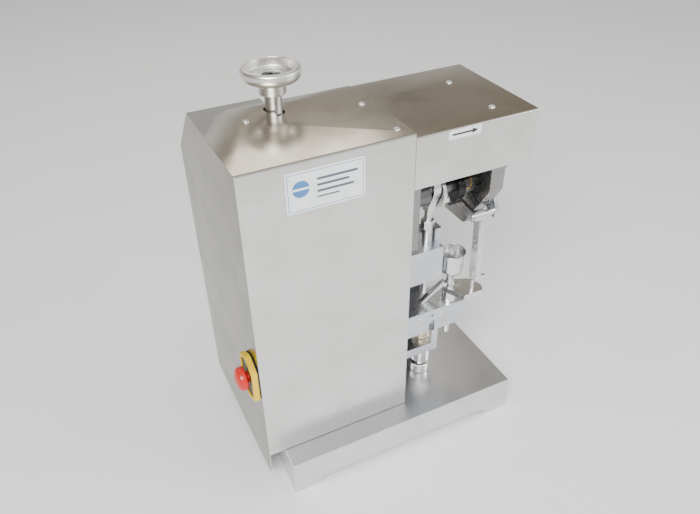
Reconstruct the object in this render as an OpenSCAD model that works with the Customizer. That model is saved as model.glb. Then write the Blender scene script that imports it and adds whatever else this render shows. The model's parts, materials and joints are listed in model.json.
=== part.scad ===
// Single-punch tablet press with a sheet-steel cover, a cast base and a handwheel.
// Positions are counted from the main cover's left face, its front face and the floor
// (see the module at()); the origin is the middle of the whole machine at floor level.

/* [Covers] */
// Width of the main cover
cover_w = 242; // [240:0.5:243]
// Depth of the main cover
cover_d = 282; // [276:1:284]
// Height of the main cover's top above the floor
cover_h = 560; // [558:1:570]
// Height at which the back of the main cover starts to slope
slope_z = 477; // [470:1:490]
// Depth of the flat top, in front of the slope
top_d = 202; // [200:1:206]
// Distance from the main cover's left face to the arm cover's right end
arm_end = 436; // [430:1:442]
// Depth of the arm cover
arm_d = 197; // [190:1:198]
// Height of the arm cover's lower edge
arm_z = 477; // [470:1:480]
// How much lower the arm cover's top lies than the main cover's
arm_drop = 6; // [4:0.5:8]
// Depth of the strip of the main cover that laps over the arm cover
lap_d = 104; // [98:1:110]
// Left edge of the arm cover's top, under the main cover
lap_x = 106; // [104:0.5:108]
// Thickness of the sheet
sheet = 1.5; // [1:0.1:2]
// Radius of the bends
bend_r = 3; // [2:0.5:4]

/* [Base] */
// Width of the base casting
base_w = 404; // [400:1:410]
// Depth of the base casting
base_d = 320; // [316:1:326]
// Height of the base casting
base_h = 66; // [64:1:68]
// Distance from the cover's left face in to the base's left side
base_inset = 25.5; // [22:0.5:28]
// How far the base stands out in front of the cover
base_front = 35; // [30:1:40]
// Length of each corner foot
foot_l = 42; // [36:1:50]
// Height of the recess between the feet
foot_h = 13; // [8:1:16]

/* [Punch line] */
// Punch axis, right of the cover's left face
press_x = 306; // [305:0.5:307]
// Punch axis, behind the cover's front face
press_y = 61; // [60:0.5:62]
// Height of the die table's top
table_z = 219; // [218:0.5:220]
// Thickness of the die table
table_t = 23; // [22:0.5:24]
// Height of the guide block's underside
guide_z = 280; // [279:0.5:282]
// Height of the guide block
guide_h = 60; // [56:1:60]
// Height of the main shaft
shaft_z = 428; // [427:0.5:429]
// Throw of the crank
throw = 11; // [10.5:0.1:11.2]
// Radius of a punch tip
punch_r = 4.75; // [4:0.25:4.75]
// Travel of the lower punch
lift = 8; // [6:0.5:8]

/* [Feed shoe] */
// Feed post, right of the cover's left face
feed_x = 347; // [346.5:0.5:347.5]
// Feed post, behind the cover's front face
feed_y = 48; // [47.5:0.5:48.5]
// Outer radius of the feed cup
cup_r = 22; // [20:0.5:22]
// Height of the cup's rim
cup_z = 315; // [312:1:315]

/* [Handwheel] */
// Radius of the handwheel
wheel_r = 41; // [38:0.5:44]
// Handwheel axis, right of the cover's left face
wheel_x = 111; // [110:0.5:112]
// Handwheel axis, behind the cover's front face
wheel_y = 160; // [159:0.5:161]
// Height of the rim's top
wheel_z = 620; // [616:1:626]

/* [Stop button] */
// Stop button axis, behind the cover's front face
stop_y = 28; // [28:1:40]
// Height of the stop button
stop_z = 220; // [200:1:260]
// Radius of the mushroom head
stop_r = 18; // [16:0.5:19]

/* [Hidden] */

$fn = 64;
e = 0.01;
run = 0.05;          // radial clearance of a running fit
gap = 0.3;           // least distance between pieces that move apart
gland_len = 21;      // how far the gland stands out of the back
stop_reach = 29;     // how far the stop button stands out of the left face
x0 = -(arm_end - stop_reach) / 2;
y0 = -(cover_d + gland_len - base_front) / 2;
arm_h = cover_h - arm_drop;
tuck_z = arm_h - 8;  // the main cover's slope is cut away above this, behind the arm's sheet
table_y = 33;        // front face of the die table
wall_y = 88;         // front face of the frame column
block_h = 21.5;      // height of the block under the die table
block_z = table_z - table_t - block_h;
ring_r = 16;         // radius of the adjusting rings
rod_r = 7;           // radius of the ejector rod
rod_top = table_z - table_t - 1;   // its end stays this far below the die
post_r = 5;          // radius of the feed post
plunger_r = 8.5;
stem_r = 6;          // threaded stem of the connecting rod
pin_r = 5.5;         // radius of the crank pin
strap_r = 22;        // outer radius of the connecting rod's eye
strap_w = 12;        // width of the connecting rod
web_gap = 2;         // between the connecting rod and the crank webs
web_w = 6;           // thickness of the right crank web
web_r = 27;          // radius of the right crank web
journal_r = 11;      // main shaft, left of the crank
end_r = 10;          // main shaft, right of the crank
crank_z = shaft_z + throw;
left_web = press_x - strap_w / 2 - web_gap;
right_web = press_x + strap_w / 2 + web_gap;
lay_y = 110;         // layshaft axis, behind the cover's front face
lay_r = 8;
lift_x = 225;        // middle of the lift cam
lift_r = 6;          // radius of the lift rod
lift_hi = 24;        // largest radius of the lift cam
feed_hi = 24.4;      // largest radius of the feed cam
feed_rise = 5.55;    // what the feed cam's radius loses in half a turn
roller_r = 7;
pivot_y = 22;        // lever pivot, behind the cover's front face
pivot_z = 389;
lever_l = 109;       // from the lever's pivot down to its foot
foot_pin_r = 38;     // from the feed post to the arm's pin
foot_pin_a = -57;    // direction of that pin at rest
hand_shaft_r = 12;   // worm shaft above the gearbox
arm_out = 43;        // from the feed post to the die
nose_a = atan2(press_y - feed_y, press_x - feed_x);
nose_slope = 48;     // slope of the feed tube
screw_r = 4.7;       // button head of the M5 screws
head_h = 2.9;
shank_r = 2.4;
tap_r = 2.5;
screw_hole = 2.7;    // clearance holes of the same screws
stud_r = 5;          // studs that carry the covers
// Cover screws: right of the left face, behind the front face, height of the sheet
screw_spots = [[62, 135, cover_h], [226, 23, cover_h], [229, 128, arm_h],
               [379, 137, arm_h], [382, 34, arm_h]];

// A place a right of the cover's left face, b behind its front face and z above the floor
module at(a, b, z = 0) translate([x0 + a, y0 + b, z]) children();
// Turns a shape drawn in X-Y, extruded up, into one drawn in Y-Z and extruded along X
module along_x() rotate([90, 0, 90]) children();
// A rod along X, Y or Z that starts at the present place
module rod(r, l) cylinder(r = r, h = l);
module rod_x(r, l) rotate([0, 90, 0]) cylinder(r = r, h = l);
module rod_y(r, l) rotate([-90, 0, 0]) cylinder(r = r, h = l);
// Points of an arc about a centre
function arc(c, r, a0, a1, n = 6) =
    [for (i = [0:n]) c + r * [cos(a0 + (a1 - a0) * i / n), sin(a0 + (a1 - a0) * i / n)]];
// Heart-shaped cam outline: the radius falls evenly over half a turn from direction dir
function heart(hi, fall, dir, n = 60) =
    [for (i = [0:n - 1]) let (a = 360 * i / n, d = a > 180 ? 360 - a : a)
        (hi - fall * d / 180) * [cos(dir + a), sin(dir + a)]];
// Outline of a gear or a knurled ring
function teeth(n, r, up, down, shift = 0) =
    [for (i = [0:n - 1], k = [0:3])
        let (a = 360 / n * (i + shift + [-0.33, -0.13, 0.13, 0.33][k]),
             q = (k == 0 || k == 3) ? r - down : r + up)
        [q * cos(a), q * sin(a)]];

// ---- frame -------------------------------------------------------------------------

module foot_recess(l) {
    // the space between two feet, with sloping ends, along X and through Y
    rotate([90, 0, 0]) linear_extrude(2 * base_d, center = true)
        polygon([[-l / 2, -e], [l / 2, -e], [l / 2 - 7, foot_h], [-l / 2 + 7, foot_h]]);
}

module base_casting() {
    wall = 10;
    plate = 12;
    pad = 34;
    inset = 21;
    color("silver") at(base_inset, -base_front) difference() {
        union() {
            difference() {
                cube([base_w, base_d, base_h]);
                translate([wall, wall, -e])
                    cube([base_w - 2 * wall, base_d - 2 * wall, base_h - plate]);
            }
            for (i = [0, 1], j = [0, 1])
                translate([i * (base_w - pad - 4) + 2, j * (base_d - pad - 4) + 2, 0])
                    cube([pad, pad, base_h - plate + e]);
        }
        translate([base_w / 2, base_d / 2, 0]) foot_recess(base_w - 2 * foot_l);
        translate([base_w / 2, base_d / 2, 0]) rotate([0, 0, 90]) foot_recess(base_d - 2 * foot_l);
        for (i = [inset, base_w - inset], j = [inset, base_d - inset])
            translate([i, j, -e]) rod(4, 24);
        translate([press_x - base_inset, press_y + base_front, 0]) rod(rod_r + run, base_h + 1);
        translate([lift_x - base_inset, press_y + base_front, 0]) rod(lift_r + run, base_h + 1);
    }
}

module frame_column() {
    color("dimgray") at(172, wall_y, base_h) cube([146, 40, 345 - base_h]);
}

module drive_shelf() {
    color("dimgray") difference() {
        at(0, 0, 345) linear_extrude(12)
            polygon([[50, 30], [270, 30], [270, 128], [238, 128], [238, 205], [50, 205]]);
        at(wheel_x, wheel_y, 340) rod(22, 20);
        at(lift_x, press_y, 340) rod(lift_r + run, 20);
    }
}

module gear_side_plate() {
    color("gray") difference() {
        at(196, 34, 357) cube([10, 102, 121]);
        at(190, press_y, shaft_z) rod_x(journal_r + run, 20);
        at(190, lay_y, shaft_z) rod_x(lay_r + run, 20);
    }
}

module left_cheek() {
    color("dimgray") difference() {
        at(246, 24, 357) cube([22, 104, 121]);
        at(240, press_y, shaft_z) rod_x(13, 40);
    }
}

module right_cheek() {
    color("dimgray") difference() {
        at(372, 0) along_x() linear_extrude(23)
            polygon([[5, 478], [5, 437], [59, 355], [63, 353], [113, 353], [128, 372], [128, 478]]);
        at(370, press_y, shaft_z) rod_x(13, 40);
        for (s = [[33, 426], [41, 408]]) at(380, s[0], s[1]) rod_x(tap_r, 20);
    }
}

module top_beam() {
    color("dimgray") difference() {
        at(196, 14, 478) cube([199, 130, 12]);
        for (s = screw_spots) if (s[0] > 196) at(s[0], s[1], 470) rod(tap_r, 30);
    }
}

module cover_posts() {
    color("silver") for (s = screw_spots) {
        foot = s[0] > 196 ? 490 : 357;
        at(s[0], s[1], foot) difference() {
            rod(stud_r, s[2] - sheet - foot);
            translate([0, 0, s[2] - sheet - foot - 16]) rod(tap_r, 20);
        }
    }
}

module guide_block() {
    color("lightsteelblue") difference() {
        at(263, 35, guide_z) cube([58, wall_y - 35, guide_h]);
        at(press_x, press_y, guide_z - 1) rod(plunger_r + run, guide_h + 2);
        at(280, 51, guide_z + guide_h - 14) rod(tap_r, 20);
    }
}

module key_block() {
    color("lightsteelblue") difference() {
        at(press_x + plunger_r + 1.2, press_y - 9, guide_z + guide_h) cube([11, 18, 23]);
        at(press_x + plunger_r - 1, press_y, guide_z + guide_h + 14) rod_x(tap_r, 9);
    }
}

module die_table() {
    color("lightsteelblue") difference() {
        at(252, table_y, table_z - table_t) cube([122, wall_y - table_y, table_t]);
        at(press_x, press_y, table_z - table_t - 1) rod(11, table_t + 2);
        at(feed_x, feed_y, table_z - table_t - 1) rod(post_r, table_t + 2);
        for (s = [284.5, 324.8]) at(s, table_y - 1, table_z - 12.5) rod_y(tap_r, 17);
        at(308, table_y - 1, table_z - 11) rod_y(2.1, 30);
    }
}

module table_block() {
    right = 372;
    color("lightsteelblue") difference() {
        at(0, 0, block_z) linear_extrude(block_h)
            polygon([[254, table_y], [right - 3, table_y], [right, table_y + 3],
                     [right, wall_y], [254, wall_y]]);
        at(303, table_y - 1, 0) cube([10, 14, table_z]);
        at(press_x, press_y, block_z - 1) rod(rod_r + run, block_h + 2);
        at(feed_x, feed_y, block_z - 1) rod(post_r, block_h + 2);
    }
}

module adjuster_yoke() {
    bar_z = 130;
    bar_h = 17;
    color("lightsteelblue") difference() {
        union() {
            at(250, table_y, bar_z) cube([71, wall_y - table_y, bar_h]);
            for (s = [250, 309]) at(s, table_y, bar_z) cube([12, 10, block_z - bar_z]);
        }
        at(press_x, press_y, bar_z - 1) rod(rod_r + run, bar_h + 2);
    }
}

module die() {
    color("silver") at(press_x, press_y, table_z - table_t) difference() {
        rod(11, table_t);
        translate([0, 0, -1]) rod(punch_r + run, table_t + 2);
    }
}

module die_lock_screw() {
    color("dimgray") at(308, table_y + 2, table_z - 11) difference() {
        rod_y(2.05, 14);
        translate([0, -e, 0]) rod_y(1, 3);
    }
}

// Button-head screw pointing up, its head's flat at the present place
module button_screw(len = 12) {
    difference() {
        union() {
            rotate_extrude() polygon(concat([[0, 0], [screw_r, 0]],
                [for (i = [1:5]) [screw_r * cos(16 * i), head_h * sin(16 * i)]], [[0, head_h]]));
            translate([0, 0, -len]) rod(shank_r, len + 0.2);
        }
        translate([0, 0, 1.4]) cylinder(r = 1.7, h = 3, $fn = 6);
    }
}

module table_screws() {
    color("silver") {
        for (s = [284.5, 324.8])
            at(s, table_y, table_z - 12.5) rotate([90, 0, 0]) button_screw(15);
        at(280, 51, guide_z + guide_h) button_screw();
    }
}

module shaft_bushes() {
    color("goldenrod") {
        at(245.5, press_y, shaft_z) bush(22.5, journal_r + run);
        at(371.5, press_y, shaft_z) bush(23.5, end_r + run);
    }
}

module bush(l, r) {
    difference() {
        rod_x(13, l);
        translate([-1, 0, 0]) rod_x(r, l + 2);
    }
}

module feed_post() {
    color("silver") at(feed_x, feed_y, 149) rod(post_r, 99);
}

module lever_bracket() {
    color("gray") difference() {
        at(395, 0) along_x() linear_extrude(7)
            polygon([[8, 470], [38, 470], [46, 404], [32, 381], [16, 380], [14, 394], [23, 412]]);
        at(390, pivot_y, pivot_z) rod_x(post_r, 20);
        for (s = [[33, 426], [41, 408]]) at(390, s[0], s[1]) rod_x(tap_r, 20);
    }
}

module lever_pivot_pin() {
    color("silver") at(356, pivot_y, pivot_z) rod_x(post_r, 48);
}

module bracket_bolts() {
    color("silver") for (s = [[33, 426], [41, 408]])
        at(402, s[0], s[1]) rotate([0, 90, 0]) button_screw(15);
}

module gearbox_housing() {
    color("slategray") difference() {
        at(84, 62, 357) cube([54, 130, 133]);
        at(94, 72, 372) cube([34, 110, 108]);
        at(wheel_x, wheel_y, 350) rod(9 + run, 200);
        at(80, lay_y, shaft_z) rod_x(lay_r + run, 80);
    }
}

module motor() {
    color("darkslategray") difference() {
        union() {
            at(wheel_x, wheel_y, 150) rod(48, 190);
            at(wheel_x, wheel_y, 335) rod(54, 10);
            for (i = [0:11]) at(wheel_x, wheel_y, 165) rotate([0, 0, 30 * i])
                translate([47, -2, 0]) cube([4.5, 4, 150]);
        }
        at(wheel_x, wheel_y, 316) rod(9 + 2, 40);
    }
}

// ---- covers ------------------------------------------------------------------------

// Side outline of the main cover, drawn back by in at every face
function cover_outline(in, low) = concat(
    [[in, low]],
    arc([in + bend_r, cover_h - in - bend_r], bend_r, 180, 90),
    [[top_d - in / 2, cover_h - in], [cover_d - in, slope_z - in / 2], [cover_d - in, low]]);

module main_cover() {
    skirt_z = base_h + 1;
    side = [[130, skirt_z], [cover_d, skirt_z], [cover_d, slope_z], [top_d + 2, cover_h - 4],
            [arm_d + 2.5, cover_h - 4], [arm_d + 2.5, arm_z - 1], [130, arm_z - 1]];
    color("lightgray") difference() {
        union() {
            difference() {
                at(0, 0) along_x() linear_extrude(cover_w)
                    polygon(cover_outline(0, skirt_z));
                at(sheet, 0) along_x() linear_extrude(cover_w)
                    polygon(cover_outline(sheet, skirt_z - 1));
            }
            // the end panel hangs lower than the rest
            at(0, 0) along_x() linear_extrude(sheet)
                polygon(concat(arc([14, 34], 14, 180, 270), [[cover_d, 20], [cover_d, 70], [0, 70]]));
            at(cover_w - sheet, 0) along_x() linear_extrude(sheet) polygon(side);
        }
        at(lap_x, lap_d, tuck_z) cube([cover_w, cover_d - lap_d, 30]);
        at(wheel_x, wheel_y, cover_h - 5) rod(hand_shaft_r + 3, 10);
        at(-1, stop_y, stop_z) rod_x(11.5, 5);
        at(150, cover_d - 5, 110) rod_y(8.2, 10);
        for (s = screw_spots) at(s[0], s[1], cover_h - 5) rod(screw_hole, 10);
    }
}

module arm_cover() {
    left = cover_w + 0.4;
    outer = concat([[0, arm_z]], arc([bend_r, arm_h - bend_r], bend_r, 180, 90),
        arc([arm_d - bend_r, arm_h - bend_r], bend_r, 90, 0), [[arm_d, arm_z]]);
    inner = concat([[sheet, arm_z - 1]],
        arc([bend_r, arm_h - bend_r], bend_r - sheet, 180, 90),
        arc([arm_d - bend_r, arm_h - bend_r], bend_r - sheet, 90, 0), [[arm_d - sheet, arm_z - 1]]);
    color("lightgray") difference() {
        union() {
            difference() {
                at(left, 0) along_x() linear_extrude(arm_end - left) polygon(outer);
                at(left - 1, 0) along_x() linear_extrude(arm_end - left + 1 - sheet) polygon(inner);
            }
            at(lap_x + 0.5, 3, arm_h - sheet) cube([left - lap_x + 1, arm_d - 3, sheet]);
            // the same sheet's bent tongue, which ends under the main cover's slope
            at(lap_x + 0.5, 0) along_x() linear_extrude(cover_w - 4 - lap_x)
                polygon([[arm_d - 2, arm_h], [arm_d, arm_h], [arm_d + 16, arm_h - 9],
                         [arm_d + 24, arm_h - 17.3], [arm_d + 22.9, arm_h - 18.3],
                         [arm_d + 15.2, arm_h - 10.3], [arm_d - 0.4, arm_h - sheet],
                         [arm_d - 2, arm_h - sheet]]);
        }
        at(wheel_x, wheel_y, arm_h - 5) rod(hand_shaft_r + 3, 10);
        for (s = screw_spots)
            at(s[0], s[1], arm_h - 5) rod(s[2] == arm_h ? screw_hole : stud_r + 0.2, 10);
    }
}

module cover_screws() {
    color("white") for (s = screw_spots) at(s[0], s[1], s[2]) button_screw();
}

module front_label() {
    color("white") at(61, -0.4, 490) cube([107.5, 0.4, 57]);
}

module arrow_label() {
    color("white") at(291, -0.4, 539) cube([51, 0.4, 13]);
}

module cable_gland() {
    color("black") at(150, cover_d, 110) difference() {
        union() {
            translate([0, -10, 0]) rod_y(8, 12);
            rotate([-90, 0, 0]) cylinder(r = 12, h = 6, $fn = 6);
            translate([0, 6, 0]) rod_y(9.5, gland_len - 6);
            translate([0, -8, 0]) rotate([-90, 0, 0]) cylinder(r = 12, h = 6, $fn = 6);
        }
        translate([0, -11, 0]) rod_y(3.6, gland_len + 12);
    }
}

// ---- stop button -------------------------------------------------------------------

module stop_base() {
    color("black") difference() {
        union() {
            at(-2, stop_y, stop_z) along_x() linear_extrude(2)
                polygon(lid_outline(26.5, 37));
            at(-2, stop_y, stop_z) rod_x(11, 20);
            at(14, stop_y - 15, stop_z - 17) cube([28, 30, 34]);
            at(-8.6, stop_y, stop_z) rod_x(15, 3.5);
            at(-8, stop_y, stop_z) rod_x(11, 8);
        }
        at(-30, stop_y, stop_z) rod_x(8.4, 50);
    }
}

// Outline of the stop button's housing: a box with its corners cut off
function lid_outline(w, h) = [[-w, -h + 12], [-4, -h], [4, -h], [w, -h + 12],
    [w, h - 12], [4, h], [-4, h], [-w, h - 12]];

module stop_lid() {
    color("gold") difference() {
        at(-11, stop_y, stop_z) along_x() linear_extrude(9) polygon(lid_outline(27, 38));
        at(-12, stop_y, stop_z) along_x() linear_extrude(3.5) polygon(lid_outline(24, 34.5));
        at(-13, stop_y, stop_z) rod_x(15.3, 20);
    }
}

module stop_button() {
    reach = stop_reach;
    color("red") at(0, stop_y, stop_z) rotate([0, -90, 0]) union() {
        translate([0, 0, -6]) rod(8, reach - 9);
        rotate_extrude() polygon(concat([[0, reach - 16], [stop_r - 4, reach - 16]],
            arc([stop_r - 2, reach - 14], 2, -90, 0, 4),
            arc([stop_r - 9, reach - 9], 9, 10, 90, 6), [[0, reach]]));
    }
}

// ---- main shaft --------------------------------------------------------------------

module crankshaft() {
    color("lightgray") {
        at(170, press_y, shaft_z) rod_x(journal_r, 104);
        at(272, press_y, shaft_z) rod_x(19.5, left_web - 272);
        at(left_web - 1, press_y, crank_z) rod_x(pin_r, right_web - left_web + 2);
        at(right_web, press_y, shaft_z) rod_x(web_r, web_w);
        at(right_web + web_w - 1, press_y, shaft_z) rod_x(end_r, 400 - right_web - web_w + 1);
        at(396, press_y, shaft_z) rotate([0, 90, 0]) cylinder(r = 14, h = 9, $fn = 6);
    }
}

module crank_bolt() {
    color("wheat") at(right_web + web_w, press_y - 17, shaft_z - 9) rotate([0, 90, 0]) {
        cylinder(r = 7, h = 6, $fn = 6);
        cylinder(r = 3, h = 9);
    }
}

module wheel_body(r_bore, l, outline) {
    along_x() linear_extrude(l) difference() {
        polygon(outline);
        circle(r = r_bore);
    }
}

module main_gear() {
    color("silver") at(176, press_y, shaft_z) wheel_body(journal_r, 16, teeth(29, 29, 1.2, 2, 0.5));
}

module lift_cam() {
    color("gray") at(lift_x - 6, press_y, shaft_z) wheel_body(journal_r, 12, heart(lift_hi, lift, 90));
}

module feed_cam() {
    color("gray") at(346, press_y, shaft_z) wheel_body(end_r, 10, heart(feed_hi, feed_rise, -80));
}

// ---- layshaft and worm shaft -------------------------------------------------------

module layshaft() {
    color("silver") at(88, lay_y, shaft_z) rod_x(lay_r, 122);
}

module worm_wheel() {
    color("goldenrod") at(103, lay_y, shaft_z) wheel_body(lay_r, 16, teeth(36, 34.5, 1, 1.5));
}

module pinion() {
    color("silver") at(176, lay_y, shaft_z) wheel_body(lay_r, 16, teeth(20, 20, 1.2, 2));
}

module worm_shaft() {
    top_z = wheel_z - 22;
    color("silver") at(wheel_x, wheel_y) {
        translate([0, 0, 320]) rod(9, 180);
        translate([0, 0, 495]) rod(hand_shaft_r, top_z - 495);
        rotate_extrude() polygon(concat([[0, 404]],
            [for (i = [0:7], k = [0:3])
                [k == 0 || k == 3 ? 11.5 : 13.4, 404 + 6 * i + [0, 1.2, 3.2, 4.4][k]]],
            [[11.5, 452], [0, 452]]));
    }
}

module handwheel() {
    rim_in = 34.5;       // inner radius of the rim
    hub_r = 19;
    hub_z = -38;         // hub's underside, below the rim's top
    hub_edge = 2;        // rounding of the hub
    edge = 5;            // rounding of the rim's top
    belly = 12;          // rounding of the rim's underside
    color("gainsboro") at(wheel_x, wheel_y, wheel_z) difference() {
        rotate_extrude() polygon(concat([[0, hub_z]],
            arc([hub_r - hub_edge, hub_z + hub_edge], hub_edge, -90, 0),
            [[hub_r, -19]],
            arc([wheel_r - belly, -8], belly, -80, 0),
            arc([wheel_r - edge, -edge], edge, 0, 90),
            [[rim_in, -2], [rim_in, -10], [30, -15], [15, -14], [0, -14]]));
        translate([0, 0, hub_z - 1]) rod(hand_shaft_r, -21 - hub_z);
        translate([0, 0, -29]) rod(3.1, 20);
        for (i = [0:2]) rotate([0, 0, 120 * i + 60]) translate([0, 0, -30]) linear_extrude(30)
            polygon(concat(arc([0, 0], 20.5, -38, 38, 8), arc([0, 0], 28.5, 40, -40, 8)));
    }
}

module wheel_screw() {
    color("dimgray") at(wheel_x, wheel_y, wheel_z - 14) difference() {
        union() {
            rod(8, 3);
            translate([0, 0, -8]) rod(3, 9);
        }
        translate([0, 0, 1]) cylinder(r = 3, h = 3, $fn = 6);
    }
}

// ---- upper punch -------------------------------------------------------------------

module con_rod() {
    left = press_x - strap_w / 2;
    color("gainsboro") {
        difference() {
            at(left, press_y, crank_z) along_x() linear_extrude(strap_w) union() {
                circle(r = strap_r);
                polygon([[-20, -10], [20, -10], [8, -36], [8, -44], [-8, -44], [-8, -36]]);
            }
            at(left - 1, press_y, crank_z) rod_x(pin_r + throw + 0.7, strap_w + 2);
        }
        at(press_x, press_y, 352) rod(stem_r, 44);
    }
}

module locknut() {
    color("silver") at(press_x, press_y, 365) rotate([0, 0, 30]) difference() {
        cylinder(r = 10.4, h = 14, $fn = 6);
        translate([0, 0, -1]) rod(stem_r + run, 20);
    }
}

module plunger() {
    color("gainsboro") at(press_x, press_y, 268) difference() {
        rod(plunger_r, 96);
        translate([0, 0, 82]) rod(stem_r + run, 20);
        translate([0, 0, -1]) rod(6 + run, 16);
    }
}

module upper_punch() {
    color("silver") at(press_x, press_y, table_z - 3 + 2 * throw) {
        rod(punch_r, 24);
        translate([0, 0, 22]) rod(6, 22);
    }
}

// ---- lower punch and lift ----------------------------------------------------------

module lower_punch() {
    color("silver") at(press_x, press_y, rod_top) rod(punch_r, table_z - rod_top);
}

module ejector_rod() {
    color("gainsboro") at(press_x, press_y, 30) rod(rod_r, rod_top - 30);
}

module lift_fork() {
    color("gray") difference() {
        at(213, press_y - 11, 30) cube([106, 22, 10]);
        at(press_x, press_y, 29) rod(rod_r, 20);
        at(lift_x, press_y, 29) rod(lift_r, 20);
    }
}

module lift_yoke() {
    roller_z = shaft_z + lift_hi + 0.4 + roller_r;
    color("gainsboro") {
        at(lift_x, press_y, 30) rod(lift_r, 346);
        at(lift_x - 7, press_y - 10, 375) cube([21, 20, 12]);
        difference() {
            at(233, press_y - 19, 375) cube([6, 38, 96]);
            at(230, press_y - 12, 414) cube([12, 24, 36]);
        }
        at(lift_x - 6, press_y, roller_z) rod_x(3.5, 15);
    }
}

module lift_roller() {
    color("dimgray") at(lift_x - 6, press_y, shaft_z + lift_hi + 0.4 + roller_r) difference() {
        rod_x(roller_r, 12);
        translate([-1, 0, 0]) rod_x(3.5, 20);
    }
}

// A knurled ring round the ejector rod
module knurled_ring(r, h, n) {
    linear_extrude(h) difference() {
        polygon(teeth(n, r - 0.6, 0.6, 0.3));
        circle(r = rod_r + 0.4);
    }
}

module ejection_ring() {
    color("tan") at(press_x, press_y, 147 + gap) {
        knurled_ring(ring_r, 19, 40);
        translate([0, 0, 18.9]) linear_extrude(4) difference() {
            circle(r = 12);
            circle(r = rod_r + 0.4);
        }
    }
}

module filling_ring() {
    color("silver") at(press_x, press_y, 88) {
        linear_extrude(6.1) difference() {
            circle(r = 14);
            circle(r = rod_r + 0.4);
        }
        translate([0, 0, 6]) knurled_ring(ring_r + 0.4, 42 - 6 - gap, 36);
    }
}

module base_ring() {
    color("silver") at(press_x, press_y, base_h + gap) knurled_ring(ring_r - 0.5, 18, 48);
}

// ---- feed shoe ---------------------------------------------------------------------

// The feed tube's own frame: its lower end's middle, pointing up the slope
module nose(r, l) {
    at(feed_x, feed_y, table_z + 0.4) rotate([0, 0, nose_a]) translate([arm_out, 0, 0])
        rotate([0, nose_slope - 90, 0]) translate([0, 0, -20]) cylinder(r = r, h = l + 20);
}

module feed_cup() {
    color("gainsboro") difference() {
        at(feed_x, feed_y) rotate_extrude() polygon([[0, table_z + 0.4], [12.5, table_z + 0.4],
            [12.5, table_z + 16], [11.5, table_z + 22], [8, table_z + 31], [6.3, table_z + 36],
            [6.3, 267], [7.5, 270], [cup_r, 284], [cup_r, cup_z], [cup_r - 1.5, cup_z],
            [cup_r - 1.5, 287], [4, 271], [4, 262], [0, 262]]);
        at(feed_x, feed_y, table_z - 1) rod(post_r + run, 31);
        at(feed_x, feed_y, 259) rod(4, 10);
        nose(4, 56);
    }
}

module feed_tube() {
    difference() {
        color("gainsboro") nose(5.5, 50);
        nose(4, 60);
        at(200, -20, table_z - 60) cube([200, 200, 60.4]);
        at(feed_x, feed_y, table_z) rod(6.3, 80);
        at(feed_x, feed_y, table_z) rod(11.5, 22);
    }
}

module feed_arm() {
    color("gainsboro") difference() {
        at(feed_x, feed_y, 240) union() {
            linear_extrude(10) polygon(concat(arc([0, 0], 13.5, 100, 220, 8),
                [[4, -38], [38, -38], [44, -27], [38, -4]]));
            rotate([0, 0, foot_pin_a]) translate([foot_pin_r, 0, 0]) rod(2.75, 47);
        }
        at(feed_x, feed_y, 240) rotate_extrude()
            polygon([[0, -1], [12.5, -1], [11.5, table_z + 22 - 240], [8, table_z + 31 - 240],
                [6.3, table_z + 36 - 240], [0, table_z + 36 - 240]]);
    }
}

module feed_lever() {
    tilt = asin((pivot_y - (feed_y + foot_pin_r * sin(foot_pin_a))) / lever_l);
    color("gainsboro") at(0, pivot_y, pivot_z) {
        difference() {
            union() {
                rotate([-tilt, 0, 0]) {
                    translate([368, 0, 0]) along_x() linear_extrude(10)
                        polygon([[-6.5, 0], [6.5, 0], [11, -lever_l - 4], [-6.5, -lever_l - 4]]);
                    translate([0, 0, -lever_l - 4]) linear_extrude(6)
                        polygon([[363.5, -9], [385, -9], [385, 9], [372, 9], [365, 4.6],
                                 [363.5, 4.6]]);
                }
                translate([358, 0, 0]) rod_x(8.5, 20);
                along_x() translate([0, 0, 358]) linear_extrude(5.5)
                    polygon([[0, -8], [0, 8], [44, 14.5], [46, 1]]);
                translate([358, 44.4, 7.6]) rod_x(7, 5.5);
                translate([346, 44.4, 7.6]) rod_x(3.5, 14);
            }
            translate([350, 0, 0]) rod_x(post_r + run, 40);
            rotate([-tilt, 0, 0]) translate([362, -4.4, -lever_l - 10]) cube([30, 8.8, 20]);
        }
    }
}

module lever_roller() {
    color("dimgray") at(346, pivot_y + 44.4, pivot_z + 7.6) difference() {
        rod_x(roller_r, 10);
        translate([-1, 0, 0]) rod_x(3.5, 12);
    }
}

base_casting();
frame_column();
drive_shelf();
gear_side_plate();
left_cheek();
right_cheek();
top_beam();
cover_posts();
guide_block();
key_block();
die_table();
table_block();
adjuster_yoke();
die();
die_lock_screw();
table_screws();
shaft_bushes();
feed_post();
lever_bracket();
lever_pivot_pin();
bracket_bolts();
gearbox_housing();
motor();
main_cover();
arm_cover();
cover_screws();
front_label();
arrow_label();
cable_gland();
stop_base();
stop_lid();
stop_button();
crankshaft();
crank_bolt();
main_gear();
lift_cam();
feed_cam();
layshaft();
worm_wheel();
pinion();
worm_shaft();
handwheel();
wheel_screw();
con_rod();
locknut();
plunger();
upper_punch();
lower_punch();
ejector_rod();
lift_fork();
lift_yoke();
lift_roller();
ejection_ring();
filling_ring();
base_ring();
feed_cup();
feed_tube();
feed_arm();
feed_lever();
lever_roller();
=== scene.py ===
"""Finished look of a bench tablet press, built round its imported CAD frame."""
import json
from math import cos, pi, radians, sin

import bmesh
import bpy
from mathutils import Matrix, Vector


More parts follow.
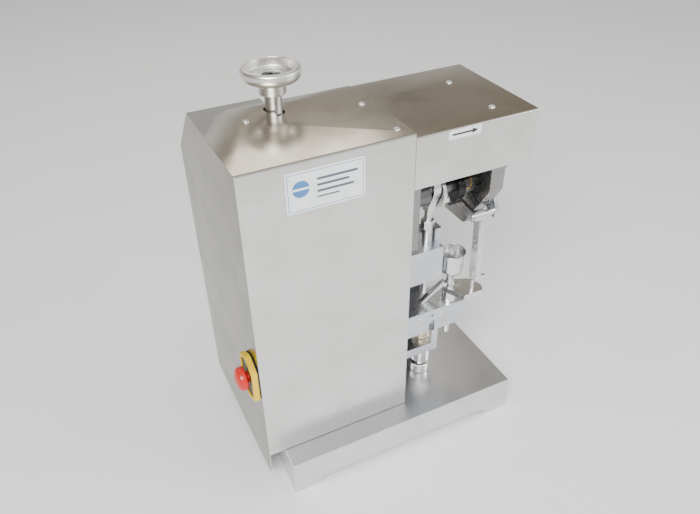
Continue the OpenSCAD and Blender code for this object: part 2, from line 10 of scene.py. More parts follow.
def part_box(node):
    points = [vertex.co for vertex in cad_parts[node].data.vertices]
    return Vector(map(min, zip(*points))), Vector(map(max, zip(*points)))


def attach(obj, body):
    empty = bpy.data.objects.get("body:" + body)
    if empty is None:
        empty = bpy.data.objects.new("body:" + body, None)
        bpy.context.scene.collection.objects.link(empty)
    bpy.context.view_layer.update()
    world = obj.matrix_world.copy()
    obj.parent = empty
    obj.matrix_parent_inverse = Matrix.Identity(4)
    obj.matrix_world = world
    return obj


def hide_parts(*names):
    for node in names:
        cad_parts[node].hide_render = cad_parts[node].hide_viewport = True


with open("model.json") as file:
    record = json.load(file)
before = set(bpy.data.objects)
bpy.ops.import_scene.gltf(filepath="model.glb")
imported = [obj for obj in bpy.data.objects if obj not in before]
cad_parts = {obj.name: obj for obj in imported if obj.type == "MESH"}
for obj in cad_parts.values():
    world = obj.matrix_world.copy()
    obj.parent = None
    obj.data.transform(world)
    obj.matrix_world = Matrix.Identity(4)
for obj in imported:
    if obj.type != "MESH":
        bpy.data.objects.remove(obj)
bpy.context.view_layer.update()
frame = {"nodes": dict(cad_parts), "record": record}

MM = 0.001
WELD = 0.002 * MM        # vertices closer than this are one
TINY = 1e-6              # radii below this are points on the axis
SCREW_HEAD = 2.9 * MM    # height of the CAD screw heads
FACES_UP = 0.5           # least upward part of a top face's normal
FACES_LEFT = -0.9        # greatest X part of a left face's normal
record = frame["record"]
BODY = {n: body for body, nodes in record["behaviour"]["bodies"].items() for n in nodes}
SLOT = {part["node"]: part["material_slot"] for part in record["subparts"]}
cover_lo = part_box("main_cover")[0]


def middle(node):
    low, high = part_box(node)
    return (low + high) / 2


# ---- materials ---------------------------------------------------------------------


def add_node(tree, kind, settings=None, **inputs):
    """Makes a node and wires or sets its inputs, named by label or as i and their number."""
    made = tree.nodes.new(kind)
    for key, value in (settings or {}).items():
        setattr(made, key, value)
    for key, value in inputs.items():
        index = int(key[1:]) if key[0] == "i" and key[1:].isdigit() else key.replace("_", " ")
        if isinstance(value, bpy.types.NodeSocket):
            tree.links.new(value, made.inputs[index])
        else:
            made.inputs[index].default_value = value
    return made


class Shader:
    """A material under construction."""

    def __init__(self, name):
        self.material = bpy.data.materials.new(name)
        self.material.use_nodes = True
        self.tree = self.material.node_tree
        self.tree.nodes.clear()
        self.coord = self.add("ShaderNodeTexCoord").outputs["Object"]

    def add(self, kind, settings=None, **inputs):
        return add_node(self.tree, kind, settings, **inputs)

    def noise(self, stretch, detail=3.0, rough=0.55):
        """Noise of that many cells a metre along X, Y and Z."""
        place = self.add("ShaderNodeMapping", Vector=self.coord, Scale=stretch)
        made = self.add("ShaderNodeTexNoise", Vector=place.outputs[0], Scale=1.0,
                        Detail=detail, Roughness=rough)
        return made.outputs["Fac"]

    def scaled(self, value, low, high, start=0.3, end=0.7):
        made = self.add("ShaderNodeMapRange", Value=value, From_Min=start, From_Max=end,
                        To_Min=low, To_Max=high)
        return made.outputs[0]

    def math(self, operation, a, b):
        made = self.add("ShaderNodeMath", {"operation": operation}, i0=a, i1=b)
        return made.outputs[0]

    def blend(self, amount, first, second):
        made = self.add("ShaderNodeMix", {"data_type": "RGBA"}, i0=amount, i6=first, i7=second)
        return made.outputs[2]

    def rubbed(self, soft_normal, worn):
        """How worn a place is: up to worn where the softened normal leaves the true one."""
        true_normal = self.add("ShaderNodeNewGeometry").outputs["Normal"]
        facing = self.add("ShaderNodeVectorMath", {"operation": "DOT_PRODUCT"},
                          i0=soft_normal, i1=true_normal).outputs["Value"]
        return self.scaled(facing, worn, 0.0, 0.90, 0.99)

    def finish(self, **inputs):
        surface = self.add("ShaderNodeBsdfPrincipled", **inputs)
        self.add("ShaderNodeOutputMaterial", Surface=surface.outputs[0])
        return self.material


def tone(color, factor=1.0):
    return tuple(min(1.0, c * factor) for c in color) + (1.0,)


def metal(name, color, rough, grain=(60, 900, 900), spread=0.08, smudge=0.06, bump=0.02,
          wave=0.0, wave_cells=13, edge=0.35, tint=None, worn=0.25):
    """Worked metal: directional grain, hand marks, a slightly uneven sheet and worn edges.

    grain is the number of cells a metre along X, Y and Z; bump and wave are heights and
    edge a radius, all in millimetres.
    """
    s = Shader(name)
    fine = s.noise(grain, 4.0, 0.6)
    broad = s.noise((17, 17, 17), 4.0, 0.5)
    marks = s.noise((140, 140, 140), 5.0, 0.65)
    soft = s.add("ShaderNodeBevel", {"samples": 6}, Radius=edge * MM)
    normal = soft.outputs[0]
    if wave:
        swell = s.noise((wave_cells, wave_cells, wave_cells), 1.0, 0.4)
        normal = s.add("ShaderNodeBump", Strength=1.0, Distance=wave * MM, Height=swell,
                       Normal=normal).outputs[0]
    normal = s.add("ShaderNodeBump", Strength=0.5, Distance=bump * MM, Height=fine,
                   Normal=normal).outputs[0]
    rubbed = s.rubbed(soft.outputs[0], worn)
    base = s.blend(s.scaled(fine, 0, 1), tone(color, 0.92), tone(color, 1.05))
    base = s.blend(s.scaled(broad, 0, 0.35, 0.42, 0.68), base, tone(tint or color, 0.86))
    base = s.blend(rubbed, base, tone([c * 0.4 + 0.55 for c in color]))
    roughness = s.math("ADD", s.scaled(fine, rough - spread, rough + spread),
                       s.scaled(broad, -smudge / 2, smudge))
    roughness = s.math("ADD", roughness, s.scaled(marks, 0.0, smudge * 0.6, 0.5, 0.75))
    return s.finish(Base_Color=base, Metallic=1.0, Roughness=roughness, Normal=normal)


def plastic(name, color, rough, grain_bump=0.03, edge=0.5, worn=0.3, scuff=0.12):
    """Moulded plastic or enamel: fine texture, faint cloudiness and scuffed edges."""
    s = Shader(name)
    texture = s.noise((1500, 1500, 1500), 2.0, 0.5)
    cloud = s.noise((45, 45, 45), 3.0, 0.5)
    scratches = s.noise((900, 90, 500), 3.0, 0.7)
    soft = s.add("ShaderNodeBevel", {"samples": 6}, Radius=edge * MM)
    normal = s.add("ShaderNodeBump", Strength=0.4, Distance=grain_bump * MM, Height=texture,
                   Normal=soft.outputs[0]).outputs[0]
    base = s.blend(s.scaled(cloud, 0, 1), tone(color, 0.93), tone(color, 1.04))
    lighter = tone([c * 0.7 + 0.22 for c in color])
    base = s.blend(s.rubbed(soft.outputs[0], worn), base, lighter)
    roughness = s.math("ADD", s.scaled(cloud, rough - 0.04, rough + 0.06),
                       s.scaled(scratches, 0.0, scuff, 0.58, 0.72))
    return s.finish(Base_Color=base, Roughness=roughness, Normal=normal, IOR=1.47)


STEEL = (0.74, 0.735, 0.72)
look = {
    "cover": metal("cover_brushed", STEEL, 0.26, grain=(45, 1500, 1500), spread=0.05,
                   bump=0.006, wave=0.45, wave_cells=15, edge=0.5, tint=(0.68, 0.65, 0.60)),
    # Top faces of the covers: the same steel as the front, its colour darkened and browned as
    # painted reflection of a dim warm room, its darker patches painted reflection too.
    "painted_top_reflection": metal("steel_top_painted_reflection", (0.57, 0.53, 0.45), 0.19, grain=(45, 1500, 1500),
                       spread=0.03, bump=0.004, wave=0.6, wave_cells=13, edge=0.5,
                       tint=(0.42, 0.38, 0.30), smudge=0.04),
    # Left end faces of the covers: the same steel, its colour made much darker as painted
    # reflection of darker surroundings.
    "painted_end_reflection": metal("steel_end_painted_reflection", (0.23, 0.225, 0.19), 0.19, grain=(900, 60, 900),
                       spread=0.03, bump=0.004, wave=0.9, wave_cells=10, edge=0.5,
                       tint=(0.15, 0.145, 0.12), smudge=0.05),
    "base": metal("base_ground", (0.72, 0.73, 0.745), 0.33, grain=(120, 2600, 2600),
                  spread=0.03, bump=0.005, wave=0.08, edge=1.2, tint=(0.64, 0.66, 0.70)),
    "iron": metal("machined_iron", (0.17, 0.17, 0.175), 0.33, grain=(700, 160, 160),
                  spread=0.09, bump=0.02, edge=0.5, tint=(0.24, 0.20, 0.16), worn=0.45),
    "cheek": metal("polished_iron", (0.30, 0.30, 0.30), 0.26, grain=(700, 120, 420),
                   spread=0.08, bump=0.015, wave=0.3, wave_cells=40, edge=0.6,
                   tint=(0.36, 0.31, 0.26), worn=0.5),
    "ground": metal("fine_ground_steel", (0.66, 0.69, 0.73), 0.30, grain=(1000, 90, 1000),
                    spread=0.10, bump=0.012, edge=0.6, tint=(0.55, 0.58, 0.64)),
    "bright": metal("bright_steel", (0.80, 0.80, 0.79), 0.26, grain=(500, 500, 900),
                    spread=0.06, bump=0.006, edge=0.4, tint=(0.74, 0.74, 0.75)),
    "polished": metal("polished_cup", (0.83, 0.83, 0.83), 0.20, grain=(200, 200, 2500),
                      spread=0.03, bump=0.004, edge=0.4, smudge=0.03),
    "turned": metal("turned_shaft", (0.80, 0.80, 0.79), 0.29, grain=(90, 90, 2200),
                    spread=0.06, bump=0.008, edge=0.4),
    "screw": metal("screw_zinc", (0.95, 0.95, 0.94), 0.30, grain=(900, 900, 900),
                   spread=0.04, bump=0.005, edge=0.3, smudge=0.03),
    "black": metal("blackened_steel", (0.055, 0.055, 0.06), 0.36, grain=(800, 800, 800),
                   bump=0.01, edge=0.4, worn=0.5),
    "bronze": metal("turned_bronze", (0.68, 0.48, 0.22), 0.28, grain=(1500, 120, 120)),
    "zinc": metal("yellow_zinc", (0.90, 0.84, 0.66), 0.25, grain=(900, 900, 900),
                  edge=0.5, tint=(0.86, 0.90, 0.72)),
    "knurl": metal("knurled_steel", (0.70, 0.69, 0.68), 0.26, grain=(600, 600, 900),
                   edge=0.15, tint=(0.50, 0.47, 0.42), worn=0.5),
    "brassy": metal("tinted_knurl", (0.66, 0.56, 0.40), 0.27, grain=(600, 600, 900),
                    edge=0.15, tint=(0.42, 0.35, 0.26), worn=0.5),
    "alloy": metal("polished_alloy", (0.88, 0.875, 0.86), 0.32, grain=(900, 900, 900),
                   spread=0.05, bump=0.01, wave=0.12, wave_cells=60, edge=0.8,
                   tint=(0.70, 0.64, 0.56), smudge=0.09),
    "motor": plastic("motor_enamel", (0.075, 0.10, 0.115), 0.38),
    "black_plastic": plastic("black_plastic", (0.018, 0.018, 0.019), 0.42),
    "yellow": plastic("yellow_plastic", (0.86, 0.56, 0.004), 0.30, grain_bump=0.02),
    "red": plastic("red_plastic", (0.62, 0.018, 0.012), 0.22, grain_bump=0.01),
    "film": plastic("label_film", (0.86, 0.89, 0.91), 0.28, grain_bump=0.006, edge=0.1),
    "ink_blue": plastic("label_blue", (0.07, 0.20, 0.48), 0.35, edge=0.05),
    "ink_grey": plastic("label_grey", (0.10, 0.11, 0.14), 0.35, edge=0.05),
    "ink_black": plastic("label_black", (0.02, 0.02, 0.025), 0.35, edge=0.05),
}

LOOK_OF_SLOT = {
    "cover_steel": "cover", "base_steel": "base", "frame_iron": "iron",
    "machined_steel": "ground", "bright_steel": "bright", "fastener_steel": "screw",
    "black_steel": "black", "bronze": "bronze", "yellow_zinc": "zinc",
    "knurled_steel": "knurl", "wheel_alloy": "alloy", "motor_paint": "motor",
    "label_white": "film", "black_plastic": "black_plastic", "yellow_plastic": "yellow",
    "red_plastic": "red",
}


def paint(obj, name):
    obj.data.materials.clear()
    obj.data.materials.append(look[name])


for name, obj in frame["nodes"].items():
    paint(obj, LOOK_OF_SLOT[SLOT[name]])

# ---- mesh helpers ------------------------------------------------------------------


def repaint(obj, name, chosen):
    """Gives another look to the faces that chosen(face) picks."""
    obj.data.materials.append(look[name])
    index = len(obj.data.materials) - 1
    for face in obj.data.polygons:
        if chosen(face):
            face.material_index = index


def place(name, bm, material, node, soften=0.0, segments=3, smooth_to=40):
    """Makes the mesh a piece that rides with the node's body, in the given look."""
    bmesh.ops.recalc_face_normals(bm, faces=bm.faces)
    data = bpy.data.meshes.new(name)
    bm.to_mesh(data)
    bm.free()
    for layer in ("custom_normal", "sharp_edge", "sharp_face"):
        if layer in data.attributes:
            data.attributes.remove(data.attributes[layer])
    obj = bpy.data.objects.new(name, data)
    bpy.context.collection.objects.link(obj)
    paint(obj, material)
    data.shade_smooth()
    data.set_sharp_from_angle(angle=radians(smooth_to))
    if soften:
        bevel = obj.modifiers.new("edges", "BEVEL")
        bevel.width = soften * MM
        bevel.segments = segments
        bevel.limit_method = "ANGLE"
        bevel.angle_limit = radians(smooth_to)
        bevel.harden_normals = True
    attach(obj, BODY[node])
    return obj


def dress(node, material, soften=0.4, segments=2, smooth_to=40):
    """A finished copy of a CAD node, with its flat faces merged and its edges rounded."""
    bm = bmesh.new()
    bm.from_mesh(frame["nodes"][node].data)
    bmesh.ops.remove_doubles(bm, verts=bm.verts, dist=WELD)
    bmesh.ops.dissolve_limit(bm, angle_limit=radians(0.4), verts=bm.verts, edges=bm.edges)
    obj = place(node + "_finished", bm, material, node, soften, segments, smooth_to)
    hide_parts(node)
    return obj


def islands(node):
    """Centre and size of every separate solid of a node, from left to right."""
    bm = bmesh.new()
    bm.from_mesh(frame["nodes"][node].data)
    bmesh.ops.remove_doubles(bm, verts=bm.verts, dist=WELD)
    left, found = set(bm.verts), []
    while left:
        grown, edge = set(), [left.pop()]
        while edge:
            vert = edge.pop()
            grown.add(vert)
            near = {e.other_vert(vert) for e in vert.link_edges} & left
            left -= near
            edge.extend(near)
        points = [v.co.copy() for v in grown]
        low = Vector([min(p[i] for p in points) for i in range(3)])
        high = Vector([max(p[i] for p in points) for i in range(3)])
        found.append((low, high))
    bm.free()
    return sorted(found, key=lambda box: tuple(box[0]))


def lathe(bm, profile, turn=96, centre=Vector(), tilt=None):
    """Revolves (radius, height) points in mm about Z; points at radius 0 close the ends."""
    frame_matrix = Matrix.Translation(centre) @ (tilt or Matrix()).to_4x4()
    rings = []
    for radius, height in profile:
        if radius < TINY:
            rings.append([bm.verts.new(frame_matrix @ Vector((0, 0, height * MM)))])
            continue
        rings.append([bm.verts.new(frame_matrix @ Vector(
            (radius * cos(2 * pi * i / turn) * MM, radius * sin(2 * pi * i / turn) * MM,
             height * MM))) for i in range(turn)])
    closed = profile[0][0] > TINY
    pairs = list(zip(rings, rings[1:])) + ([(rings[-1], rings[0])] if closed else [])
    for a, b in pairs:
        for i in range(turn):
            j = (i + 1) % turn
            corners = [a[i % len(a)], a[j % len(a)], b[j % len(b)], b[i % len(b)]]
            unique = list(dict.fromkeys(corners))
            if len(unique) > 2:
                bm.faces.new(unique)


def prism(bm, outline, height, matrix=None):
    """Extrudes an outline in mm, drawn in X-Y, up by height."""
    matrix = matrix or Matrix()
    low = [bm.verts.new(matrix @ Vector((x * MM, y * MM, 0))) for x, y in outline]
    high = [bm.verts.new(matrix @ Vector((x * MM, y * MM, height * MM))) for x, y in outline]
    bm.faces.new(low[::-1])
    bm.faces.new(high)
    for i in range(len(outline)):
        j = (i + 1) % len(outline)
        bm.faces.new((low[i], low[j], high[j], high[i]))


def arc(centre, radius, start, end, steps=8):
    """Points of an arc, angles in degrees."""
    return [(centre[0] + radius * cos(radians(start + (end - start) * i / steps)),
             centre[1] + radius * sin(radians(start + (end - start) * i / steps)))
            for i in range(steps + 1)]


def hexagon(radius):
    return [(radius * cos(pi / 3 * k), radius * sin(pi / 3 * k)) for k in range(6)]


def rounded(width, height, radius, steps=6):
    """Outline of a rounded rectangle about the origin."""
    w, h = width / 2 - radius, height / 2 - radius
    return (arc((w, h), radius, 0, 90, steps) + arc((-w, h), radius, 90, 180, steps)
            + arc((-w, -h), radius, 180, 270, steps) + arc((w, -h), radius, 270, 360, steps))


def cut(bm, cutter):
    """Subtracts one closed mesh from another."""
    bodies = []
    for source in (bm, cutter):
        data = bpy.data.meshes.new("boolean")
        bmesh.ops.recalc_face_normals(source, faces=source.faces)
        source.to_mesh(data)
        source.free()
        bodies.append(bpy.data.objects.new("boolean", data))
        bpy.context.collection.objects.link(bodies[-1])
    step = bodies[0].modifiers.new("cut", "BOOLEAN")
    step.operation, step.object, step.solver = "DIFFERENCE", bodies[1], "EXACT"
    evaluated = bodies[0].evaluated_get(bpy.context.evaluated_depsgraph_get())
    result = bmesh.new()
    result.from_mesh(evaluated.to_mesh())
    evaluated.to_mesh_clear()
    for body in bodies:
        bpy.data.meshes.remove(body.data)
    return result


# ---- covers, base and frame ----------------------------------------------------------

for name in ("main_cover", "arm_cover"):
    sheet_metal = dress(name, "cover", 0.45, 3, 50)
    # Top faces take the copy of the steel with painted reflection in its colour.
    repaint(sheet_metal, "painted_top_reflection", lambda face: face.normal.z > FACES_UP)
    # Left end faces take the darker copy of the steel with painted reflection in its colour.
    repaint(sheet_metal, "painted_end_reflection", lambda face: face.normal.x < FACES_LEFT)
dress("base_casting", "base", 1.4, 4, 50)
dress("guide_block", "ground", 0.8, 3)
dress("key_block", "ground", 0.6)
dress("die_table", "ground", 0.6, 3)
dress("table_block", "ground", 0.6)
dress("adjuster_yoke", "ground", 0.7, 3)
dress("die", "bright", 0.5)
dress("left_cheek", "cheek", 1.0, 3)
dress("right_cheek", "cheek", 1.0, 3)
dress("frame_column", "iron", 1.5, 3)
dress("top_beam", "iron", 1.0)
dress("drive_shelf", "iron", 1.0)
dress("lever_bracket", "ground", 0.5)
dress("lever_pivot_pin", "bright", 0.8)
dress("feed_post", "turned", 0.6)
crank = dress("crankshaft", "bright", 0.6, 3)
disc_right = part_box("crank_bolt")[0].x
rod_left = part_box("con_rod")[0].x
# Painted shade: the crankshaft outside the con rod and crank disc, including the stub between the
# disc and the right cheek, takes the dark iron look, so that the stub reads as the shaded gap.
repaint(crank, "iron", lambda face: not rod_left < face.center.x < disc_right + 4 * MM)
dress("crank_bolt", "zinc", 0.5, 3)
dress("con_rod", "bright", 0.7, 3)
dress("locknut", "bright", 0.7, 3)
dress("plunger", "turned", 0.8, 3)
dress("upper_punch", "turned", 0.2)
dress("ejector_rod", "turned", 0.6)
dress("feed_arm", "bright", 0.5)
dress("feed_tube", "bright", 0.4)
dress("feed_lever", "bright", 0.9, 3)
dress("cable_gland", "black_plastic", 0.5)
dress("stop_base", "black_plastic", 0.5)
housing = dress("stop_lid", "yellow", 0.8, 3)
# Left-facing faces of the lid set back more than 2 mm from its outer face, which form its recessed
# face, take the black plastic look and are darker than the yellow walls.
recess_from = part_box("stop_lid")[0].x + 2 * MM
repaint(housing, "black_plastic",
        lambda face: face.normal.x < FACES_LEFT and face.center.x > recess_from)


# ---- screws --------------------------------------------------------------------------


def heads(boxes, tilt, length):
    """Button-head socket screws whose heads end at the far side of the given boxes."""
    head_r, head_h, socket_r = 4.6, 2.85, 1.7
    dome = [(head_r * cos(radians(a)), 0.35 + (head_h - 0.35) * sin(radians(a)))
            for a in range(0, 78, 6)]
    bm, drill = bmesh.new(), bmesh.new()
    axis = tilt @ Vector((0, 0, 1))
    for low, high in boxes:
        reach = sum(abs((high - low)[i] * axis[i]) for i in range(3))
        foot = (low + high) / 2 + axis * (reach / 2 - SCREW_HEAD)
        lathe(bm, [(0, -length), (2.3, -length), (2.4, -length + 0.4), (2.4, 0),
                   (head_r - 0.25, 0), (head_r, 0.25)] + dome + [(2.2, head_h), (0, head_h)],
              48, foot, tilt)
        prism(drill, hexagon(socket_r), 4, Matrix.Translation(foot) @ tilt.to_4x4()
              @ Matrix.Translation((0, 0, 1.3 * MM)))
    return cut(bm, drill)


UP = Matrix.Identity(3)
RIGHT = Matrix.Rotation(radians(90), 3, "Y")
FRONT = Matrix.Rotation(radians(90), 3, "X")
LEFT = Matrix.Rotation(radians(-90), 3, "Y")

lid_screws = place("cover_screw_heads", heads(islands("cover_screws"), UP, 11.5), "screw",
                   "cover_screws", 0, 2, 30)
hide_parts("cover_screws")
side_bolts = place("bracket_screw_heads", heads(islands("bracket_bolts"), RIGHT, 14.5), "screw",
                   "bracket_bolts", 0, 2, 30)
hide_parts("bracket_bolts")

table_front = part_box("die_table")[0].y
front_heads = [box for box in islands("table_screws") if box[0].y < table_front]
top_heads = [box for box in islands("table_screws") if box[0].y > table_front]
front_screws = place("table_screw_heads", heads(front_heads, FRONT, 14.5), "screw",
                     "table_screws", 0, 2, 30)
guide_screw = place("guide_screw_head", heads(top_heads, UP, 11.5), "screw", "table_screws",
                    0, 2, 30)
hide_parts("table_screws")
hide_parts("table_screws")

# ---- worm shaft ----------------------------------------------------------------------

shaft_low, shaft_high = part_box("worm_shaft")
shaft_len = (shaft_high.z - shaft_low.z) / MM
thin_r, thick_r, thread_root, thread_tip = 9, 12, 11.5, 13.4
thread_from, thread_to, thick_from, pitch = 84, 132, 175, 6
thread = [(radius, thread_from + pitch * k + rise) for k in range(8)
          for radius, rise in ((thread_root, 0), (thread_tip, 1.2), (thread_tip, 3.2),
                               (thread_root, 4.4))]
shaft = bmesh.new()
lathe(shaft, [(0, 0), (thin_r - 0.4, 0), (thin_r, 0.4), (thin_r, thread_from)] + thread
      + [(thread_root, thread_to), (thin_r, thread_to), (thin_r, thick_from),
         (thick_r - 0.3, thick_from), (thick_r, thick_from + 0.3), (thick_r, shaft_len - 0.5),
         (thick_r - 0.5, shaft_len), (0, shaft_len)],
      96, Vector((middle("worm_shaft").x, middle("worm_shaft").y, shaft_low.z)))
shaft = place("worm_shaft_turned", shaft, "turned", "worm_shaft", 0, 2, 30)
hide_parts("worm_shaft")

# ---- handwheel -----------------------------------------------------------------------

wheel_low, wheel_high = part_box("handwheel")
wheel_r = (wheel_high.x - wheel_low.x) / 2 / MM
wheel_top = Vector((middle("handwheel").x, middle("handwheel").y, wheel_high.z))
hub_drop = (wheel_high.z - wheel_low.z) / MM
rim_in = wheel_r - 6.5
bore = 12.05
profile = (
    [(bore, -hub_drop + 0.8), (bore + 0.75, -hub_drop)]
    + arc((17, -hub_drop + 2), 2, -90, 0, 8)
    + arc((20.5, -21.5), 1.5, 180, 90, 4)
    + arc((wheel_r - 12, -8), 12, -80, 0, 14)
    + arc((wheel_r - 5, -5), 5, 0, 90, 10)
    + arc((rim_in + 1.2, -1.3), 1.2, 90, 180, 4)
    + arc((rim_in - 4, -10.5), 4, 0, -90, 6)
    + [(17, -14.6), (16.2, -14.1), (6, -14.1), (6, -20), (bore, -20)]
)
wheel = bmesh.new()
lathe(wheel, profile, 144, wheel_top)
windows = bmesh.new()
for k in range(3):
    outline = arc((0, 0), 20.5, -36, 36, 12) + arc((0, 0), 28.0, 37, -37, 14)
    turn = Matrix.Rotation(radians(120 * k + 60), 4, "Z")
    prism(windows, outline, 40, Matrix.Translation(wheel_top - Vector((0, 0, 0.032))) @ turn)
wheel = place("handwheel_cast", cut(wheel, windows), "alloy", "handwheel", 0.9, 3, 38)
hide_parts("handwheel")

screw_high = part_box("wheel_screw")[1]
cap = bmesh.new()
cap_foot = Vector((wheel_top.x, wheel_top.y, screw_high.z - 3 * MM))
lathe(cap, [(0, -7.6), (2.9, -7.6), (2.9, 0), (13.2, 0), (13.6, 0.3), (13.6, 1.2), (13.2, 1.5),
            (8.0, 1.5), (7.8, 1.7), (7.6, 2.5), (7.1, 2.9), (3.6, 2.9), (0, 2.9)], 96, cap_foot)
socket = bmesh.new()
prism(socket, hexagon(3.1), 6, Matrix.Translation(cap_foot + Vector((0, 0, 0.4 * MM))))
cap = place("hub_washer_and_screw", cut(cap, socket), "black", "wheel_screw", 0.15, 2)
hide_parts("wheel_screw")

# ---- adjusting rings -----------------------------------------------------------------


def knurled(node, name, material, count, plain_top, plain_bottom, depth=0.8):
    """A ring with fine upright teeth between two chamfers, and plain collars if it has any."""
    low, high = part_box(node)
    outer = (high.x - low.x) / 2 / MM - 0.05
    height = (high.z - low.z) / MM
    bore, steps = 7.45, 6
    z0, z1 = plain_bottom, height - plain_top
    levels = [(z0, -1.3), (z0 + 1.2, 0), (z1 - 1.2, 0), (z1, -1.3)]
    centre = Vector((middle(node).x, middle(node).y, low.z))
    bm = bmesh.new()
    total = count * steps
    rings = []
    for z, shift in levels:
        ring = []
        for i in range(total):
            angle = 2 * pi * i / total
            phase = (i % steps) / steps
            tooth = abs(2 * phase - 1)
            radius = outer - depth * min(1.0, 1.6 * (1 - tooth)) + shift
            if shift:
                radius = outer - depth + shift
            offset = Vector((radius * cos(angle), radius * sin(angle), z)) * MM
            ring.append(bm.verts.new(centre + offset))
        rings.append(ring)
    inner = [[bm.verts.new(centre + Vector((bore * cos(2 * pi * i / total),
                                            bore * sin(2 * pi * i / total), z)) * MM)
              for i in range(total)] for z in (z0, z1)]
    around = rings + [inner[1], inner[0]]
    for a, b in zip(around, around[1:] + around[:1]):
        for i in range(total):
            j = (i + 1) % total
            bm.faces.new((a[i], a[j], b[j], b[i]))
    if plain_top:
        lathe(bm, [(bore, z1 - 0.4), (12, z1 - 0.4), (12, height - 0.6), (11.4, height),
                   (bore, height)], 96, centre)
    if plain_bottom:
        lathe(bm, [(bore, 0), (13.4, 0), (14, 0.6), (14, z0 + 0.4), (bore, z0 + 0.4)], 96, centre)
    ring = place(name, bm, material, node, 0, 2, 30)
    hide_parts(node)


knurled("ejection_ring", "ejection_ring_knurled", "brassy", 64, 3.9, 0)
knurled("filling_ring", "filling_ring_knurled", "knurl", 60, 0, 6)
knurled("base_ring", "base_ring_knurled", "knurl", 84, 0, 0, 0.55)

# ---- feed cup --------------------------------------------------------------------------

cup_low, cup_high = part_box("feed_cup")
cup_r = (cup_high.x - cup_low.x) / 2 / MM
cup_h = (cup_high.z - cup_low.z) / MM
cup = bmesh.new()
lathe(cup, [(5.1, 0), (12, 0), (12.5, 0.5), (12.5, 15.2), (12.3, 16)]
      + [(11.9, 18.5), (11.2, 22), (9.6, 27), (8, 31.2), (6.9, 34), (6.35, 36.5), (6.3, 47.2),
         (6.9, 49.0), (8.2, 51.2), (cup_r - 1.6, 62.8), (cup_r - 0.5, 64.4), (cup_r, 66.2)]
      + [(cup_r, cup_h - 0.9)] + arc((cup_r - 0.7, cup_h - 0.7), 0.7, 0, 180, 8)
      + [(cup_r - 1.4, 67), (cup_r - 2.2, 65.2), (5.4, 52.6), (3.9, 50.8), (3.9, 42.5), (0, 42.5)],
      128, Vector((middle("feed_post").x, middle("feed_post").y, cup_low.z)))
cup = place("feed_cup_turned", cup, "polished", "feed_cup", 0, 2, 35)
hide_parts("feed_cup")

# ---- stop button -----------------------------------------------------------------------

button_low, button_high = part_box("stop_button")
head_r = (button_high.z - button_low.z) / 2 / MM
face = Vector((cover_lo.x, middle("stop_button").y, middle("stop_button").z))
reach = (cover_lo.x - button_low.x) / MM
mushroom = bmesh.new()
crown = [(head_r * sin(radians(a)), reach - 7.5 * (1 - cos(radians(a))) ** 0.9)
         for a in range(0, 84, 4)]
lathe(mushroom, [(0, -5.8), (7.9, -5.8), (7.9, reach - 15.5), (head_r - 4.5, reach - 15.8)]
      + arc((head_r - 2.2, reach - 13.6), 2.2, -90, 0, 6) + crown[::-1], 112, face, LEFT)
mushroom = place("stop_mushroom", mushroom, "red", "stop_button", 0, 2, 60)
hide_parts("stop_button")

# ---- labels ----------------------------------------------------------------------------

label_low, label_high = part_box("front_label")
label_w, label_h = [(label_high - label_low)[i] / MM for i in (0, 2)]


def film(name, node, outlines, material, depth):
    """Printed shapes on a label: outlines in mm about the label's middle, as thin solids."""
    low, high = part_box(node)
    bm = bmesh.new()
    start = Vector(((low.x + high.x) / 2, high.y, (low.z + high.z) / 2))
    for outline in outlines:
        prism(bm, outline, depth, Matrix.Translation(start) @ FRONT.to_4x4())
    return place(name, bm, material, node, 0, 2, 30)


def shifted(outline, x, y, turn=0):
    c, s = cos(radians(turn)), sin(radians(turn))
    return [(x + c * px - s * py, y + s * px + c * py) for px, py in outline]


def frame_strips(width, height, line):
    """The four strips of a rectangular border line."""
    w, h = width / 2, height / 2
    side = rounded(line, height, line * 0.45, 2)
    bar = rounded(width - 2 * line, line, line * 0.45, 2)
    return [shifted(side, -w + line / 2, 0), shifted(side, w - line / 2, 0),
            shifted(bar, 0, h - line / 2), shifted(bar, 0, -h + line / 2)]


sheet_depth, print_depth = 0.33, 0.39
plate = film("front_label_film", "front_label", [rounded(label_w, label_h, 2.5)], "film",
             sheet_depth)
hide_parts("front_label")
film("front_label_border", "front_label", frame_strips(label_w - 5, label_h - 5, 0.8),
     "ink_blue", print_depth)
tablet_at, tablet_r = (-label_w / 2 + 20, 4), 11.5
tablet = [arc(tablet_at, tablet_r, 8, 172, 20), arc(tablet_at, tablet_r, 188, 352, 20)]
film("front_label_tablet", "front_label", tablet, "ink_blue", print_depth)
bars = [shifted(rounded(w, 3.4, 1.2, 3), label_w / 2 - 66 + w / 2, y)
        for w, y in ((56, 13), (44, 4.5), (50, -4))]
bars += [shifted(rounded(w, 2.2, 0.8, 3), label_w / 2 - 66 + w / 2, -12) for w in (30,)]
film("front_label_bars", "front_label", bars, "ink_grey", print_depth)

arrow_low, arrow_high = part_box("arrow_label")
arrow_w, arrow_h = [(arrow_high - arrow_low)[i] / MM for i in (0, 2)]
plate = film("arrow_label_film", "arrow_label", [rounded(arrow_w, arrow_h, 1.2)], "film",
             sheet_depth)
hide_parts("arrow_label")
tip, barb, shaft = arrow_w * 0.40, arrow_h * 0.32, arrow_h * 0.10
arrow = [(-tip, -shaft), (tip - 9, -shaft), (tip - 10.5, -barb), (tip, 0), (tip - 10.5, barb),
         (tip - 9, shaft), (-tip, shaft)]
film("arrow_label_arrow", "arrow_label", [arrow], "ink_black", print_depth)

# ---- floor, light and camera -------------------------------------------------------------

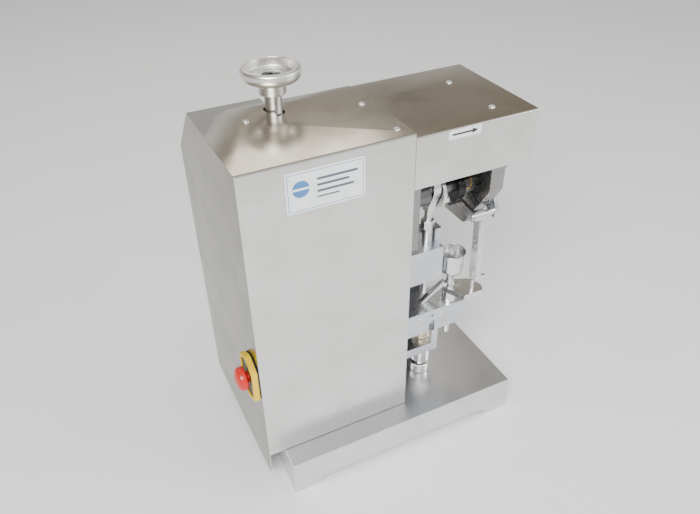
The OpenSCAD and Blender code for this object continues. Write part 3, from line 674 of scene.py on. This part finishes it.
bpy.ops.mesh.primitive_plane_add(size=14)
floor = bpy.context.object
floor.name = "floor"
s = Shader("floor_paper")
paper = s.blend(s.scaled(s.noise((6, 6, 6), 3.0), 0, 1), (0.94, 0.94, 0.936, 1),
                (0.96, 0.96, 0.956, 1))
floor.data.materials.append(s.finish(Base_Color=paper, Roughness=0.75))


def softbox(name, place_at, aim, size, power, color=(1, 1, 1)):
    lamp = bpy.data.lights.new(name, "AREA")
    lamp.shape, lamp.size, lamp.size_y = "RECTANGLE", size[0], size[1]
    lamp.energy, lamp.color = power, color
    obj = bpy.data.objects.new(name, lamp)
    obj.location = place_at
    obj.rotation_euler = (Vector(aim) - Vector(place_at)).to_track_quat("-Z", "Y").to_euler()
    bpy.context.collection.objects.link(obj)


centre = Vector((0, 0, 0.3))
softbox("key", (-1.1, -1.6, 2.1), centre, (1.3, 1.0), 84)
softbox("fill", (1.9, -1.3, 1.3), centre, (1.4, 1.4), 18)
softbox("back", (0.2, 1.9, 2.2), centre, (2.0, 0.8), 15, (1.0, 0.96, 0.90))

world = bpy.data.worlds.new("studio")
world.use_nodes = True
bpy.context.scene.world = world
sky = world.node_tree
sky.nodes.clear()


def sky_node(kind, settings=None, **inputs):
    return add_node(sky, kind, settings, **inputs)


direction = sky_node("ShaderNodeTexCoord").outputs["Generated"]
split = sky_node("ShaderNodeSeparateXYZ", Vector=direction)
height = sky_node("ShaderNodeMapRange", {"interpolation_type": "SMOOTHSTEP"},
                  Value=split.outputs["Z"], From_Min=0.12, From_Max=0.42).outputs[0]
behind = sky_node("ShaderNodeMapRange", {"interpolation_type": "SMOOTHSTEP"},
                  Value=split.outputs["Y"], From_Min=-0.1, From_Max=0.5).outputs[0]
beside = sky_node("ShaderNodeMapRange", {"interpolation_type": "SMOOTHSTEP"},
                  Value=split.outputs["X"], From_Min=-0.35, From_Max=-0.8).outputs[0]
back_panel = sky_node("ShaderNodeMath", {"operation": "MULTIPLY"}, i0=height,
                      i1=behind).outputs[0]
panel = sky_node("ShaderNodeMath", {"operation": "MAXIMUM"}, i0=back_panel,
                 i1=beside).outputs[0]
blot = sky_node("ShaderNodeTexNoise", Vector=direction, Scale=4.2, Detail=3.0, Roughness=0.5)
patch = sky_node("ShaderNodeMapRange", {"interpolation_type": "SMOOTHSTEP"},
                 Value=blot.outputs["Fac"], From_Min=0.50, From_Max=0.62).outputs[0]
dark = sky_node("ShaderNodeMix", {"data_type": "RGBA"}, i0=patch, i6=(0.34, 0.30, 0.25, 1),
                i7=(0.075, 0.066, 0.05, 1)).outputs[2]
light = sky_node("ShaderNodeMix", {"data_type": "RGBA"}, i0=panel,
                 i6=(0.93, 0.94, 0.96, 1), i7=dark).outputs[2]
glow = sky_node("ShaderNodeBackground", Color=light, Strength=0.95)
sky_node("ShaderNodeOutputWorld", Surface=glow.outputs[0])

# The camera's distance from the cover's left front edge and its direction
camera_from_edge = Vector((-176.2, -672.5, 0)) * MM
camera_height = 936.3 * MM
yaw, pitch, roll = radians(25.545), radians(35.714), radians(-1.108)
forward = Vector((sin(yaw) * cos(pitch), cos(yaw) * cos(pitch), -sin(pitch)))
level = Vector((cos(yaw), -sin(yaw), 0))
upward = level.cross(forward)
right = level * cos(roll) + upward * sin(roll)
above = upward * cos(roll) - level * sin(roll)
eye = Vector((cover_lo.x, cover_lo.y, 0)) + camera_from_edge + Vector((0, 0, camera_height))
lens = bpy.data.cameras.new("view")
lens.sensor_width, lens.lens = 36.0, 35.055
camera = bpy.data.objects.new("view", lens)
camera.matrix_world = Matrix.Translation(eye) @ Matrix(
    (right, above, -forward)).transposed().to_4x4()
bpy.context.collection.objects.link(camera)
bpy.context.scene.camera = camera
